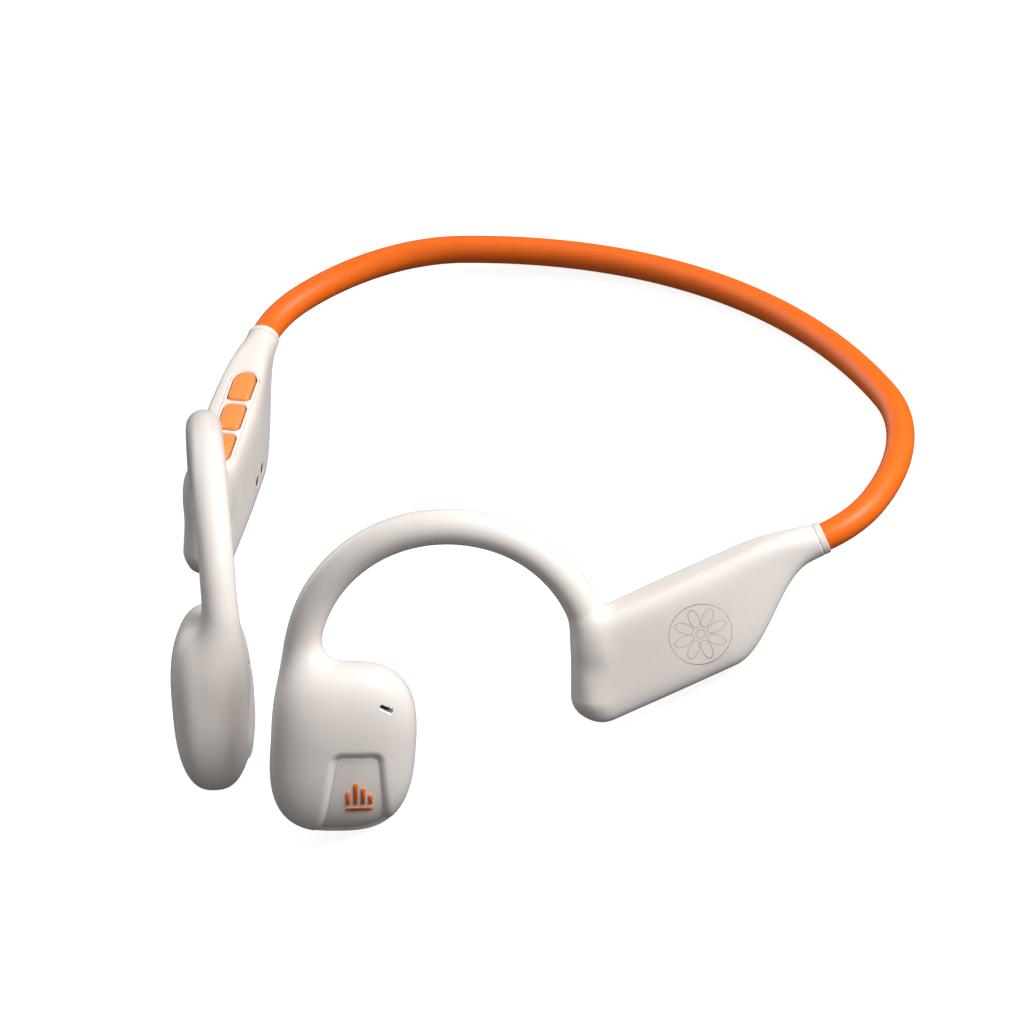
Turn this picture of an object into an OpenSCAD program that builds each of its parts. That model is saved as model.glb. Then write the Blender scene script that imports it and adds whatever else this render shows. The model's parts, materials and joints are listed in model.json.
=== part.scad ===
// Open-ear bone conduction headphones on a sprung neckband.
// The parts are drawn as worn: +X is the wearer's left, -Y is forward, +Z is up.
// on_table() then lays the whole object down on its band and its two speaker housings.

/* [Neckband] */
// Radius of the gentle arc across the nape
nape_r = 118; // [100:1:140]
// Half angle of the nape arc
nape_turn = 23; // [20:0.5:26]
// Radius of the side bends
side_r = 28; // [24:0.5:32]
// Angle of each side bend
side_turn = 55; // [50:0.5:60]
// Radius of the short bends that lead into the pods
lead_in_r = 14.5; // [12:0.5:18]
// Slope of the band, down towards the nape
band_slope = 3.4; // [0:0.1:8]
// Diameter of the silicone sleeve
band_d = 4.2; // [3.8:0.1:4.4]
// Diameter of the spring wire in the band and in the hooks
wire_d = 1; // [0.8:0.1:1.2]
// Diameter of the signal leads
lead_d = 0.8; // [0.6:0.1:0.9]

/* [Pods] */
// Angle by which each pod turns in towards the face
pod_toe = 30.5; // [28:0.5:33]
// Lean of each pod's top towards the head
pod_roll = 14; // [10:0.5:18]
// Length of a pod from its collar to its front
pod_len = 41.5; // [40:0.5:43]
// Height of the pod's top above its collar's axis
pod_top = 3.8; // [3.4:0.1:4.2]
// Depth of the pod's belly below its collar's axis
pod_belly = 11.8; // [11:0.1:12.6]
// Thickness of a pod at its middle
pod_t = 8.2; // [8:0.1:9]
// Wall of the moulded shells
wall = 1.2; // [1:0.1:1.4]

/* [Ear hooks] */
// Distance from the collar to the hook's root along the pod
hook_at = 36; // [35:0.25:37]
// Angle by which the hook's plane turns in
hook_toe = 48.5; // [46:0.5:51]
// Lean of the hook's plane towards the head
hook_lean = 17; // [14:0.5:20]
// Radius of the hook behind its crown
hook_back_r = 19.5; // [18.5:0.5:20.5]
// Radius of the hook in front of its crown
hook_front_r = 22.9; // [22.3:0.2:23.5]
// Diameter of the hook's sleeve
hook_d = 5.3; // [4.8:0.1:5.6]

/* [Speaker housings] */
// Width of a speaker housing
speaker_w = 21.4; // [20.5:0.1:22.3]
// Height of a speaker housing
speaker_h = 26.6; // [25.6:0.2:27.6]
// Thickness of a speaker housing
speaker_t = 11.4; // [11:0.1:12]
// Height of the contact pad
pad_h = 14; // [12:0.5:16]
// Width of the contact pad
pad_w = 11; // [10.5:0.5:12]

/* [Buttons] */
// Length of each button along the pod
button_len = 5.7; // [5.3:0.1:5.8]
// Width of each button
button_w = 3.3; // [3:0.1:3.4]
// Spacing of the three buttons
button_pitch = 6.7; // [6.6:0.1:6.8]
// Distance that a button travels
button_travel = 0.3; // [0.2:0.05:0.35]

/* [Hidden] */
$fn = 48;

shell_cream = [0.93, 0.9, 0.87];
band_orange = [0.96, 0.47, 0.13];
button_orange = [0.98, 0.58, 0.28];

// The object lies on the back of the band and on both speaker housings.
table_tilt = 7.9;
table_shift = [0, 15.84, 9.58];

// Band plane: three tangent arcs a side, from the nape to the collar.
collar_heading = 90 + pod_toe;
side_end = nape_turn + side_turn;
collar_r = 2.45;
collar_x = nape_r * sin(nape_turn) + side_r * (sin(side_end) - sin(nape_turn))
    + lead_in_r * (sin(collar_heading) - sin(side_end));
nape_y = nape_r - (nape_r - side_r) * cos(nape_turn)
    - (side_r - lead_in_r) * cos(side_end) - lead_in_r * cos(collar_heading);
collar_z = 0.3;
band_insert = 3.6;
socket_len = 1;
wire_offset = 0.75;
fit_gap = 0.05;
lap = 0.05;
lap_step = 0.01;
bore_len = 12;

// Pod outline
pod_front_r = 4.2;
pod_front_taper = 0.5;
pod_lean = 0.3;
pod_square = 4.5;
roof_ramp = 10;
belly_start = 2.5;
belly_len = 16;
part_y = -0.8;
cavity_x0 = 11;
cavity_x1 = 32.5;
cavity_half = 2.9;
pocket_x1 = 38;
pocket_half = 2.6;
pocket_h = 4.4;
ring_points = 24;
pod_stations = [0, 2, 4, 6, 8, 10, 12, 14, 17, 20, 24, 28, 32, 35];
front_steps = [0:15:75];

// Ear hook: a straight root, two arcs and a straight stem
hook_root = 4;
hook_rise = 3.5;
hook_back_turn = 57;
hook_front_turn = 112.4;
hook_stem = 5;
ferrule_r = 0.8;
ferrule_len = 1.6;
wire_tail = 3;
lead_tail = 2;
lead_bore_tail = 4.5;

// Speaker housing
speaker_at = [14.4, -60.75, -5];
speaker_toe = 44;
speaker_pitch = -20;
speaker_roll = 13;
speaker_skew = 0.06;
speaker_points = 32;
speaker_lat = [-84, -72, -58, -44, -30, -15, 0, 15, 30, 44, 58, 72, 84];
outline_power = 2.8;
edge_power = 2.6;
speaker_part_y = 0.6;
skin_y = -4.4;
skin_t = 0.7;
pad_face_y = -5.5;
pad_gap = 0.2;
pad_proud = 0.15;
pad_at = [-1.5, 0, -3];
driver_r = 7.4;
plate_y = -3.3;
plate_t = 0.4;
gap_y = -2.2;
pole_t = 0.8;
base_y = 1.2;
yoke_y = 2.2;
stem_r = 3.6;
pole_r = 3.6;
coil_in = 4;
coil_out = 4.8;
yoke_in = 5.2;
yoke_out = 6.6;
panel_at = -2;
panel_top = 1.2;
panel_depth = 0.7;
panel_t = 0.8;
mic_x = -6.2;
mic_z = 8.1;
mic_y = 2.5;
mic_t = 1.1;
mic_l = 3;
slot_l = 2.6;
slot_w = 0.8;
emblem_y = 4.45;
emblem_z = -7.6;
emblem_t = 0.4;

// Button row, measured from the middle button
row_at = 21.7;
row_y = -0.8;
bezel_len = 21.4;
bezel_w = 4.6;
bezel_z = pod_top - 1.4;
button_top = pod_top + 0.25;
button_gap = 0.25;
button_round = 0.8;
end_round_at = button_len / 2 - 1;
flange = 0.35;
flange_grow = 0.3;
press_gap = 0.35;
dome_h = 0.6;
switch_h = 0.6;
board_t = 0.8;
membrane_z = bezel_z - fit_gap - flange - press_gap - dome_h;

// Charging contacts on the inner face of the right pod
pins_at = 22;
pins_z = -7.4;
pin_pitch = 3;
pin_r = 0.8;

function smooth(t) = t <= 0 ? 0 : t >= 1 ? 1 : t * t * (3 - 2 * t);
function power(v, e) = sign(v) * pow(abs(v), e);

// ---- placing ----

module on_table() {
    translate(table_shift)
        rotate([-table_tilt, 0, 0])
            children();
}

module sided(side) {
    mirror([side < 0 ? 1 : 0, 0, 0])
        children();
}

module in_band_plane() {
    translate([0, 0, collar_z])
        rotate([-band_slope, 0, 0])
            children();
}

// Pod frame: +X forward along the pod, +Y outward, +Z up
module in_pod() {
    translate([collar_x, 0, collar_z])
        rotate([pod_roll, 0, -90 - pod_toe])
            children();
}

// Hook plane: +X forward, +Y up, with the hook's root at the origin
module in_hook() {
    translate([collar_x, 0, collar_z] - hook_at * [sin(pod_toe), cos(pod_toe), 0])
        rotate([hook_lean, 0, -90 - hook_toe])
            rotate([90, 0, 0])
                children();
}

module in_speaker() {
    translate(speaker_at)
        rotate([speaker_roll, speaker_pitch, -90 - speaker_toe])
            children();
}

// ---- general shapes ----

// Skin over a row of equal rings, closed by flat ends
module loft(rings) {
    n = len(rings[0]);
    last = len(rings) - 1;
    points = [for (ring = rings) for (p = ring) p];
    sides = [
        for (i = [0:last - 1], j = [0:n - 1])
            let (a = i * n + j, b = i * n + (j + 1) % n)
                each [[a, b + n, b], [a, a + n, b + n]]
    ];
    start = [for (j = [0:n - 1]) j];
    end = [for (j = [n - 1:-1:0]) last * n + j];
    polyhedron(points, concat([start], sides, [end]));
}

// The stretches of a rod lap into each other, and every second one is a shade thicker
module arc_rod(centre, radius, from, turn, rod_r) {
    lap_turn = lap / radius * 180 / PI;
    translate(centre)
        rotate([0, 0, from - lap_turn])
            rotate_extrude(angle = turn + 2 * lap_turn, $fn = 96)
                translate([radius, 0])
                    circle(rod_r, $fn = 32);
}

module straight_rod(start, heading, length, rod_r) {
    translate(start)
        rotate([0, 0, heading])
            rotate([0, 90, 0])
                translate([0, 0, -lap])
                    cylinder(r = rod_r, h = length + lap, $fn = 32);
}

module stadium(length, width) {
    hull_w = length - width;
    square([hull_w, width], center = true);
    for (end = [-1, 1])
        translate([end * hull_w / 2, 0])
            circle(width / 2);
}

module rounded_rect(length, width, r) {
    square([length - 2 * r, width], center = true);
    square([length, width - 2 * r], center = true);
    for (sx = [-1, 1], sy = [-1, 1])
        translate([sx * (length / 2 - r), sy * (width / 2 - r)])
            circle(r);
}

// ---- neckband ----

// Rod along the whole band, offset sideways in the band's plane
module band_rod(rod_r, offset_r, tail) {
    nape_c = [0, nape_y - nape_r];
    side_c = nape_c + (nape_r - side_r) * [sin(nape_turn), cos(nape_turn)];
    lead_c = side_c + (side_r - lead_in_r) * [sin(side_end), cos(side_end)];
    lead_turn = collar_heading - side_end;
    arc_rod(nape_c, nape_r + offset_r, 90 - nape_turn, 2 * nape_turn, rod_r + lap_step);
    for (side = [-1, 1])
        sided(side) {
            arc_rod(side_c, side_r + offset_r, 90 - side_end, side_turn, rod_r);
            arc_rod(lead_c, lead_in_r + offset_r, 90 - collar_heading, lead_turn,
                rod_r + lap_step);
            straight_rod(
                lead_c + (lead_in_r + offset_r) * [sin(collar_heading), cos(collar_heading)],
                -collar_heading, tail, rod_r);
        }
}

// Straight bore for the end of the band, in the worn frame
module band_end(rod_r, length) {
    in_band_plane()
        straight_rod(
            [collar_x, 0] - socket_len * [cos(-collar_heading), sin(-collar_heading)],
            -collar_heading, socket_len + length, rod_r);
}

module neckband_sleeve() {
    color(band_orange)
        on_table()
            in_band_plane()
                difference() {
                    band_rod(band_d / 2, 0, band_insert);
                    band_rod(wire_d / 2 + fit_gap, wire_offset, bore_len);
                    band_rod(lead_d / 2 + fit_gap, -wire_offset, bore_len);
                }
}

module neckband_wire() {
    color("silver")
        on_table()
            in_band_plane()
                band_rod(wire_d / 2, wire_offset, band_insert + 3);
}

module neckband_lead() {
    color("dimgray")
        on_table()
            in_band_plane()
                band_rod(lead_d / 2, -wire_offset, band_insert + 5);
}

module band_socket(side) {
    color(shell_cream)
        on_table()
            sided(side)
                difference() {
                    in_pod()
                        rotate([0, 90, 0])
                            translate([0, 0, -socket_len])
                                cylinder(r1 = collar_r - 0.1, r2 = collar_r, h = socket_len);
                    in_band_plane()
                        straight_rod(
                            [collar_x, 0] + 3 * socket_len * [sin(pod_toe), cos(pod_toe)],
                            -collar_heading, 8 * socket_len, band_d / 2 + fit_gap);
                }
}

// ---- pods ----

function pod_roof(x) = collar_r + (pod_top - collar_r) * sin(90 * min(x / roof_ramp, 1));
function pod_floor(x) = -collar_r
    - (pod_belly - collar_r) * smooth((x - belly_start) / belly_len);
function pod_half(x) = collar_r + (pod_t / 2 - collar_r) * smooth(x / 20)
    - pod_front_taper * smooth((x - 24) / 17);

// One ring of the pod, drawn in by its front rounding
function pod_ring(x, inset) =
    let (
        roof = pod_roof(x) - inset,
        floor_z = pod_floor(x) + inset,
        half_y = pod_half(x) - inset,
        mid_z = (roof + floor_z) / 2,
        half_z = (roof - floor_z) / 2,
        squareness = 2 + (pod_square - 2) * smooth(x / 12),
        lean = pod_lean * smooth((x - 20) / 21)
    )
    [for (k = [0:ring_points - 1])
        let (
            a = 360 * k / ring_points,
            z = mid_z + half_z * power(sin(a), 2 / squareness)
        )
        [x - lean * (z + pod_belly / 2), half_y * power(cos(a), 2 / squareness), z]];

module pod_body() {
    front_x = pod_len - pod_front_r;
    loft(concat(
        [for (x = pod_stations) pod_ring(x, 0)],
        [for (a = front_steps)
            pod_ring(front_x + pod_front_r * sin(a), pod_front_r * (1 - cos(a)))]));
}

module pod_cavity() {
    upper = [[cavity_x1, pod_top - wall], [cavity_x0, pod_top - wall]];
    lower = [for (x = [cavity_x0:2.45:cavity_x1]) [x, pod_floor(x) + wall]];
    rotate([90, 0, 0])
        translate([0, 0, -cavity_half])
            linear_extrude(2 * cavity_half)
                polygon(concat(lower, [[cavity_x1, pod_floor(cavity_x1) + wall]], upper));
    translate([cavity_x1 - 1, -pocket_half, -pod_belly + 2 * wall])
        cube([pocket_x1 - cavity_x1 + 1, 2 * pocket_half, pocket_h]);
}

module half_space(from_y, to_y) {
    translate([-10, from_y, -30])
        cube([70, to_y - from_y, 60]);
}

// Bore that holds the hook's root
module hook_socket() {
    in_hook()
        translate([0, -hook_root - fit_gap, 0])
            rotate([-90, 0, 0])
                cylinder(r = hook_d / 2 + fit_gap, h = 12, $fn = 32);
    in_hook()
        translate([0, -hook_root - 6, 0])
            rotate([-90, 0, 0])
                cylinder(r = 1.6, h = 7, $fn = 32);
}

module pod_half_shell(side, from_y, to_y) {
    color(shell_cream)
        on_table()
            sided(side)
                difference() {
                    in_pod()
                        difference() {
                            intersection() {
                                pod_body();
                                half_space(from_y, to_y);
                            }
                            pod_cavity();
                            if (side < 0)
                                right_pod_cutouts();
                        }
                    band_end(band_d / 2 + fit_gap, band_insert + fit_gap);
                    band_end(1.6, bore_len);
                    hook_socket();
                }
}

module right_pod_cutouts() {
    translate([row_at, row_y, 0])
        linear_extrude(10)
            stadium(bezel_len, bezel_w);
    charging_holes(pin_r, pod_t);
}

module pod_shell(side) {
    pod_half_shell(side, part_y, 10);
}

module pod_cover(side) {
    pod_half_shell(side, -10, part_y);
}

// Crimped ferrules that anchor the ends of the spring wires in a pod
module wire_ferrules(side) {
    color("gray")
        on_table()
            sided(side) {
                difference() {
                    ferrule_at_collar(ferrule_r, ferrule_len, 0);
                    ferrule_at_collar(wire_d / 2, ferrule_len + 1, -0.5);
                }
                in_hook()
                    translate([-wire_offset, -hook_root - wire_tail, 0])
                        rotate([-90, 0, 0])
                            difference() {
                                cylinder(r = ferrule_r, h = ferrule_len);
                                translate([0, 0, -0.5])
                                    cylinder(r = wire_d / 2, h = ferrule_len + 1);
                            }
            }
}

module ferrule_at_collar(r, length, back) {
    in_band_plane()
        straight_rod(
            [collar_x, 0]
                + wire_offset * [sin(collar_heading), cos(collar_heading)]
                + (band_insert + wire_tail - ferrule_len + back)
                    * [cos(-collar_heading), sin(-collar_heading)],
            -collar_heading, length, r);
}

// ---- ear hooks ----

// Rod along the whole hook, offset sideways in the hook's plane
module hook_rod(rod_r, offset_r, root, stem) {
    back_c = [hook_back_r, hook_rise];
    back_end = 180 - hook_back_turn;
    front_end = back_end - hook_front_turn;
    front_c = back_c + (hook_back_r - hook_front_r) * [cos(back_end), sin(back_end)];
    straight_rod([-offset_r, -root], 90, root + hook_rise, rod_r);
    arc_rod(back_c, hook_back_r + offset_r, back_end, hook_back_turn, rod_r + lap_step);
    arc_rod(front_c, hook_front_r + offset_r, front_end, hook_front_turn, rod_r);
    straight_rod(
        front_c + (hook_front_r + offset_r) * [cos(front_end), sin(front_end)],
        front_end - 90, stem, rod_r + lap_step);
}

module hook_part(side) {
    on_table()
        sided(side)
            in_hook()
                children();
}

module hook_sleeve(side) {
    color(shell_cream)
        hook_part(side)
            difference() {
                hook_rod(hook_d / 2, 0, hook_root, hook_stem);
                hook_rod(wire_d / 2 + fit_gap, wire_offset, hook_root + 1, hook_stem + 1);
                hook_rod(lead_d / 2 + fit_gap, -wire_offset, hook_root + 1, hook_stem + 1);
            }
}

module hook_wire(side) {
    color("silver")
        hook_part(side)
            hook_rod(wire_d / 2, wire_offset, hook_root + wire_tail, hook_stem + wire_tail);
}

module hook_lead(side) {
    color("dimgray")
        hook_part(side)
            hook_rod(lead_d / 2, -wire_offset, hook_root + lead_tail, hook_stem + lead_tail);
}

// ---- speaker housings ----

// One ring of the housing's pillow shape, at one latitude between its two faces
function speaker_ring(latitude, inset) =
    let (
        half_w = (speaker_w / 2 - inset) * power(cos(latitude), 2 / edge_power),
        half_h = (speaker_h / 2 - inset) * power(cos(latitude), 2 / edge_power),
        y = (speaker_t / 2 - inset) * power(sin(latitude), 2 / edge_power)
    )
    [for (k = [0:speaker_points - 1])
        let (a = -360 * k / speaker_points)
        let (z = half_h * power(sin(a), 2 / outline_power))
        [half_w * power(cos(a), 2 / outline_power) - speaker_skew * z, y, z]];

module speaker_body(inset) {
    loft([for (a = speaker_lat) speaker_ring(a, inset)]);
}

module along_y(at, from_y, to_y, r) {
    translate([at[0], to_y, at[2]])
        rotate([90, 0, 0])
            cylinder(r = r, h = to_y - from_y);
}

module panel_prism(from_y, to_y, inset) {
    outline = [
        [panel_at - 3.1 + inset, panel_top - inset],
        [panel_at + 3.1 - inset, panel_top - inset],
        [panel_at + 3.6 - inset, panel_top - 1 - inset],
        [panel_at + 5 - inset, -speaker_h / 2 - 1],
        [panel_at - 5 + inset, -speaker_h / 2 - 1],
        [panel_at - 3.6 + inset, panel_top - 1 - inset]
    ];
    translate([0, to_y, 0])
        rotate([90, 0, 0])
            linear_extrude(to_y - from_y)
                polygon(outline);
}

module mic_slot(from_y, to_y, grow) {
    translate([mic_x, to_y, mic_z])
        rotate([90, 0, 0])
            linear_extrude(to_y - from_y)
                stadium(slot_l + grow, slot_w + grow);
}

module speaker_cutouts() {
    along_y(pad_at, skin_y + skin_t, yoke_y, driver_r);
    along_y(pad_at, skin_y - 1, skin_y + 2 * skin_t, stem_r + 0.4);
    pad_prism(pad_gap, -10, skin_y);
    translate([mic_x - mic_l / 2 - fit_gap, mic_y, mic_z - 1])
        cube([mic_l + 2 * fit_gap, mic_t, 2]);
    mic_slot(mic_y, 10, 0);
}

module speaker_half(side, from_y, to_y) {
    color(shell_cream)
        on_table()
            sided(side)
                difference() {
                    in_speaker()
                        difference() {
                            intersection() {
                                speaker_body(0);
                                translate([-15, from_y, -20])
                                    cube([30, to_y - from_y, 40]);
                            }
                            speaker_cutouts();
                            if (to_y > speaker_part_y)
                                panel_recess();
                        }
                    hook_end_socket();
                }
}

// Bores for the end of the hook's sleeve, its wire and its lead
module hook_end_socket() {
    in_hook() {
        hook_rod(hook_d / 2 + fit_gap, 0, 0, hook_stem + fit_gap);
        hook_rod(ferrule_r + fit_gap, wire_offset, 0, hook_stem + wire_tail + fit_gap);
        hook_rod(lead_d / 2 + fit_gap, -wire_offset, 0, hook_stem + lead_bore_tail);
    }
}

module panel_recess() {
    difference() {
        panel_prism(speaker_part_y + 1, 10, 0);
        speaker_body(panel_depth + panel_t);
    }
}

module speaker_shell(side) {
    speaker_half(side, speaker_part_y, 10);
}

module speaker_cover(side) {
    speaker_half(side, -10, speaker_part_y);
}

module accent_panel(side) {
    color([0.88, 0.85, 0.81])
        on_table()
            sided(side)
                in_speaker()
                    intersection() {
                        panel_prism(speaker_part_y + 1, 10, fit_gap);
                        difference() {
                            speaker_body(panel_depth);
                            speaker_body(panel_depth + panel_t);
                        }
                    }
}

// Plain level-meter emblem of four bars on a base line
module emblem(side) {
    bars = [2.2, 3.6, 2.8, 1.6];
    color(band_orange)
        on_table()
            sided(side)
                in_speaker()
                    translate([panel_at, emblem_y, emblem_z]) {
                        for (i = [0:3])
                            translate([1.35 - i * 1.1 - 0.3, 0, 0])
                                cube([0.7, emblem_t, bars[i]]);
                        translate([-2.25, 0, -1])
                            cube([4.3, emblem_t, 0.6]);
                    }
}

module mic_mesh(side) {
    color("black")
        on_table()
            sided(side)
                in_speaker()
                    mic_slot(mic_y + mic_t, mic_y + mic_t + 0.2, -0.05);
}

module microphone(side) {
    color("goldenrod")
        on_table()
            sided(side)
                in_speaker()
                    translate([mic_x - mic_l / 2, mic_y, mic_z - 0.95])
                        cube([mic_l, mic_t, 1.9]);
}

// ---- bone conduction drivers ----

module driver_part(side, tint) {
    color(tint)
        on_table()
            sided(side)
                in_speaker()
                    children();
}

module yoke(side) {
    driver_part(side, "dimgray")
        difference() {
            along_y(pad_at, gap_y, yoke_y, yoke_out);
            along_y(pad_at, gap_y - 1, base_y, yoke_in);
        }
}

module magnet(side) {
    driver_part(side, "silver")
        along_y(pad_at, gap_y + pole_t, base_y, pole_r - 0.1);
}

module pole_plate(side) {
    driver_part(side, "gray")
        along_y(pad_at, gap_y, gap_y + pole_t, pole_r);
}

module voice_coil(side) {
    driver_part(side, "peru")
        difference() {
            along_y(pad_at, plate_y + plate_t, -0.8, coil_out);
            along_y(pad_at, plate_y, 0, coil_in);
        }
}

// Plate spring with three arc slots that free its hub from its rim
module spring_plate(side) {
    driver_part(side, "lightgray")
        difference() {
            along_y(pad_at, plate_y, plate_y + plate_t, driver_r - 0.4);
            for (turn = [0, 120, 240])
                translate([pad_at[0], plate_y - 0.1, pad_at[2]])
                    rotate([90, turn, 0])
                        mirror([0, 0, 1])
                            rotate_extrude(angle = 90)
                                translate([5.4, 0])
                                    square([0.6, 1]);
        }
}

// The pad follows the housing's curve, and is flat where it meets the cheekbone
module contact_pad(side) {
    driver_part(side, [0.82, 0.79, 0.75]) {
        intersection() {
            speaker_body(-pad_proud);
            pad_prism(0, pad_face_y, skin_y - pad_gap);
        }
        along_y(pad_at, skin_y - pad_gap - lap, plate_y, stem_r);
    }
}

module pad_prism(grow, from_y, to_y) {
    translate([pad_at[0], to_y, pad_at[2]])
        rotate([90, 0, 0])
            linear_extrude(to_y - from_y)
                rounded_rect(pad_w + 2 * grow, pad_h + 2 * grow, 5 + grow);
}

// ---- right pod: buttons and electronics ----

module right_part(tint) {
    color(tint)
        on_table()
            sided(-1)
                in_pod()
                    children();
}

// Bezel cut from the pod's own skin, so that the top runs on without a step
module button_bezel() {
    right_part(shell_cream)
        intersection() {
            pod_body();
            translate([row_at, row_y, bezel_z])
                linear_extrude(5)
                    difference() {
                        stadium(bezel_len - 2 * fit_gap, bezel_w - 2 * fit_gap);
                        for (i = [-1, 0, 1])
                            button_outline(i, button_gap);
                    }
        }
}

// The two outer buttons have rounded outer ends
module button_outline(i, grow) {
    translate([i * button_pitch, 0]) {
        rounded_rect(button_len + 2 * grow, button_w + 2 * grow, button_round + grow);
        if (i != 0)
            translate([i * end_round_at, 0])
                circle(button_w / 2 + grow);
    }
}

module button(i) {
    right_part(button_orange)
        translate([row_at, row_y, bezel_z - fit_gap - flange]) {
            linear_extrude(button_top - bezel_z + fit_gap + flange)
                button_outline(i, 0);
            linear_extrude(flange)
                button_outline(i, flange_grow);
        }
}

// Silicone sheet with one dome under each button
module key_membrane() {
    right_part("dimgray")
        translate([row_at, row_y, membrane_z]) {
            linear_extrude(dome_h / 2)
                stadium(bezel_len - 1.4, 4);
            for (i = [-1, 0, 1])
                translate([i * button_pitch, 0, 0])
                    cylinder(r = 1.2, h = dome_h);
        }
}

module key_switches() {
    right_part("silver")
        for (i = [-1, 0, 1])
            translate([row_at + i * button_pitch - 1.4, row_y - 1.4, membrane_z - switch_h])
                cube([2.8, 2.8, switch_h]);
}

module main_board() {
    right_part("darkgreen")
        translate([cavity_x0 + 0.8, -cavity_half + 0.4, membrane_z - switch_h - board_t])
            cube([20.3, 2 * cavity_half - 0.8, board_t]);
}

module radio_module() {
    right_part("black")
        translate([row_at - 2, -2.4, membrane_z - switch_h - board_t - 1.4])
            cube([8, 4.8, 1.4]);
}

module charging_holes(r, depth) {
    for (i = [-1, 1])
        translate([pins_at + i * pin_pitch / 2, -cavity_half + 1, pins_z])
            rotate([90, 0, 0])
                cylinder(r = r, h = depth);
}

module charging_pins() {
    right_part("gold")
        for (i = [-1, 1])
            translate([pins_at + i * pin_pitch / 2, -cavity_half + 1, pins_z])
                rotate([90, 0, 0])
                    cylinder(r = pin_r - fit_gap, h = 1 + wall - 0.1);
}

module charging_magnets() {
    right_part("silver")
        for (i = [-1, 1])
            translate([pins_at + i * 2 * pin_pitch, -cavity_half + 0.05, pins_z])
                rotate([-90, 0, 0])
                    cylinder(r = 1.4, h = 1.2);
}

// ---- left pod: battery ----

module left_part(tint) {
    color(tint)
        on_table()
            in_pod()
                children();
}

module battery_cell() {
    left_part("silver")
        translate([24, 2.7, -4.4])
            rotate([90, 0, 0])
                linear_extrude(5.4)
                    rounded_rect(16, 11, 1.6);
}

module battery_board() {
    left_part("darkgreen")
        translate([16, -2.6, 1.3])
            cube([16, 5.2, 0.8]);
}

neckband_sleeve();
neckband_wire();
neckband_lead();
band_socket(1);  // band_socket_left
band_socket(-1);  // band_socket_right
pod_shell(1);  // pod_shell_left
pod_shell(-1);  // pod_shell_right
pod_cover(1);  // pod_cover_left
pod_cover(-1);  // pod_cover_right
wire_ferrules(1);  // wire_ferrules_left
wire_ferrules(-1);  // wire_ferrules_right
hook_sleeve(1);  // hook_sleeve_left
hook_sleeve(-1);  // hook_sleeve_right
hook_wire(1);  // hook_wire_left
hook_wire(-1);  // hook_wire_right
hook_lead(1);  // hook_lead_left
hook_lead(-1);  // hook_lead_right
speaker_shell(1);  // speaker_shell_left
speaker_shell(-1);  // speaker_shell_right
speaker_cover(1);  // speaker_cover_left
speaker_cover(-1);  // speaker_cover_right
accent_panel(1);  // accent_panel_left
accent_panel(-1);  // accent_panel_right
emblem(1);  // emblem_left
emblem(-1);  // emblem_right
mic_mesh(1);  // mic_mesh_left
mic_mesh(-1);  // mic_mesh_right
microphone(1);  // microphone_left
microphone(-1);  // microphone_right
yoke(1);  // yoke_left
yoke(-1);  // yoke_right
magnet(1);  // magnet_left
magnet(-1);  // magnet_right
pole_plate(1);  // pole_plate_left
pole_plate(-1);  // pole_plate_right
voice_coil(1);  // voice_coil_left
voice_coil(-1);  // voice_coil_right
spring_plate(1);  // spring_plate_left
spring_plate(-1);  // spring_plate_right
contact_pad(1);  // contact_pad_left
contact_pad(-1);  // contact_pad_right
button_bezel();
button(-1);  // button_rear
button(0);  // button_middle
button(1);  // button_front
key_membrane();
key_switches();
main_board();
radio_module();
charging_pins();
charging_magnets();
battery_cell();
battery_board();
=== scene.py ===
import json
import math

import bmesh
import bpy
import numpy as np
from mathutils import Matrix, Vector


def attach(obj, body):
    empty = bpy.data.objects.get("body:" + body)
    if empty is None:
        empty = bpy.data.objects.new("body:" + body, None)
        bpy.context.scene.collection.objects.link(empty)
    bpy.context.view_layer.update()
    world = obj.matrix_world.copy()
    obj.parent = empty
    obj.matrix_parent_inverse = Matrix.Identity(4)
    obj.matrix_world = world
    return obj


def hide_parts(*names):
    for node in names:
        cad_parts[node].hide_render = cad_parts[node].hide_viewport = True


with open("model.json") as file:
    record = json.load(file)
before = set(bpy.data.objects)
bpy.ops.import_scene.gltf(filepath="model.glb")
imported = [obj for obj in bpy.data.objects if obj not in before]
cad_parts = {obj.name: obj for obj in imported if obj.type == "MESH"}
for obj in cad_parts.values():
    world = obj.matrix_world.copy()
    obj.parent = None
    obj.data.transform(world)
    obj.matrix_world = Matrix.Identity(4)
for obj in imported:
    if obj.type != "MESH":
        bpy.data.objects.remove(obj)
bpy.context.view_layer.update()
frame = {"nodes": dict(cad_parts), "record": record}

# Lengths are in millimetres, in the frame of the object as worn, until to_row() lays it down.
MM = 0.001

# ---- sizes shared with the CAD model ----

TABLE_TILT = 7.9
TABLE_SHIFT = (0, 15.84, 9.58)
NAPE_R, NAPE_TURN = 118, 23
SIDE_R, SIDE_TURN = 28, 55
LEAD_IN_R = 14.5
BAND_SLOPE = 3.4
BAND_R = 2.1
POD_TOE, POD_ROLL, POD_LEN = 30.5, 14, 41.5
POD_TOP, POD_BELLY, POD_T = 3.8, 11.8, 8.2
POD_LEAN, POD_FRONT_R = 0.3, 4.2
ROOF_RAMP, BELLY_START, BELLY_RAMP = 10, 2.5, 16
COLLAR_R, COLLAR_Z = 2.45, 0.3
COLLAR_HEADING = 90 + POD_TOE
HOOK_AT, HOOK_TOE, HOOK_LEAN = 36, 48.5, 17
HOOK_R, HOOK_RISE = 2.65, 3.5
HOOK_BACK_R, HOOK_BACK_TURN = 19.5, 57
HOOK_FRONT_R, HOOK_FRONT_TURN = 22.9, 112.4
HOOK_STEM = 5
SPEAKER_AT = (14.4, -60.75, -5)
SPEAKER_TOE, SPEAKER_PITCH, SPEAKER_ROLL = 44, -20, 13
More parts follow.
